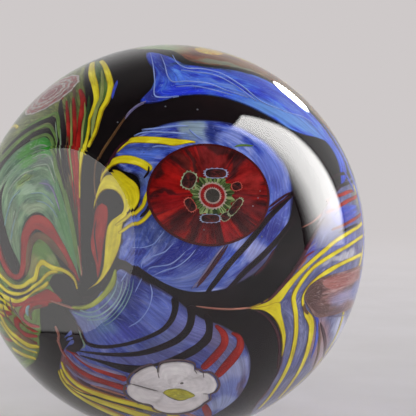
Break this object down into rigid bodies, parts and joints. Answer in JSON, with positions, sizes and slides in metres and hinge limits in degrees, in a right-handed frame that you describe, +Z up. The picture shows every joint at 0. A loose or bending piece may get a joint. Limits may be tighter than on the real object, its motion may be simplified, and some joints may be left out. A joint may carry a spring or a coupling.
{
  "type": "paperweight",
  "caption": "Art-glass paperweight: a clear crystal ball with a ground foot and a polished side window, cased over marbled coloured glass, pulled stringers and flower canes.",
  "frame": {"origin": "centre of the ground foot that the ball stands on", "axes": "+Z up, -Y towards the viewer, who sees the polished window at the front left"},
  "size_m": [0.08, 0.08, 0.0773],
  "materials": {
    "crystal": "clear crystal, fire polished, with two ground and polished flats",
    "black": "opaque black glass",
    "blue": "marbled cobalt blue glass",
    "sky": "marbled sky blue glass",
    "lavender": "streaked lavender blue glass",
    "green": "streaked green glass",
    "teal": "streaked pale green and teal glass",
    "olive": "olive green glass",
    "yellow": "opaque yellow glass",
    "red": "opaque red glass",
    "maroon": "dark maroon glass",
    "white": "opaque white glass",
    "pink": "opaque pink glass",
    "brown": "brown glass"
  },
  "bodies": {
    "root": {"crystal_casing": "crystal", "crystal_foot": "crystal", "black_core": "black", "blue_field_front": "blue", "blue_field_top": "sky", "blue_field_foot": "blue", "lavender_field_right": "lavender", "green_field_lobe": "teal", "green_field_left": "green", "green_field_crown": "green", "olive_field_crown": "olive", "maroon_field_top": "maroon", "green_field_back": "green", "blue_field_back": "blue", "lavender_field_back": "lavender", "yellow_stringer_crown_left": "yellow", "yellow_stringer_crown_right": "yellow", "yellow_stringer_upper": "yellow", "yellow_zigzag_left": "yellow", "yellow_stringer_left_middle": "yellow", "yellow_stringer_rim_upper": "yellow", "yellow_stringer_right_middle": "yellow", "yellow_stringer_right_outer": "yellow", "yellow_band_foot_upper": "yellow", "yellow_band_foot_middle": "yellow", "olive_stringer_left": "olive", "red_arch": "red", "red_finger": "red", "red_swirl": "red", "red_stripe_crown_inner": "red", "red_stripe_foot_inner": "red", "red_stripe_foot_outer": "red", "red_stripe_foot_left_upper": "red", "red_stripe_foot_left_lower": "red", "black_drop": "black", "black_chevron_crown": "black", "black_stripe_front_upper": "black", "black_stripe_front_lower": "black", "black_arc_foot_upper": "black", "black_arc_foot_middle": "black", "black_arc_foot_lower": "black", "yellow_fork_left": "yellow", "yellow_fork_right": "yellow", "red_murrina_core": "black", "red_murrina_red_ring": "red", "red_murrina_green_ring": "green", "red_murrina_window_ring": "white", "red_murrina_body": "red", "red_murrina_rim": "maroon", "white_murrina_centre": "yellow", "white_murrina_petals": "white", "pink_murrina_centre": "red", "pink_murrina_petals": "pink", "brown_murrina_centre": "red", "brown_murrina_rim": "brown", "yellow_murrina": "yellow", "back_murrina_centre": "yellow", "back_murrina_petals": "white", "back_murrina_rim": "maroon"}
  },
  "joints": []
}
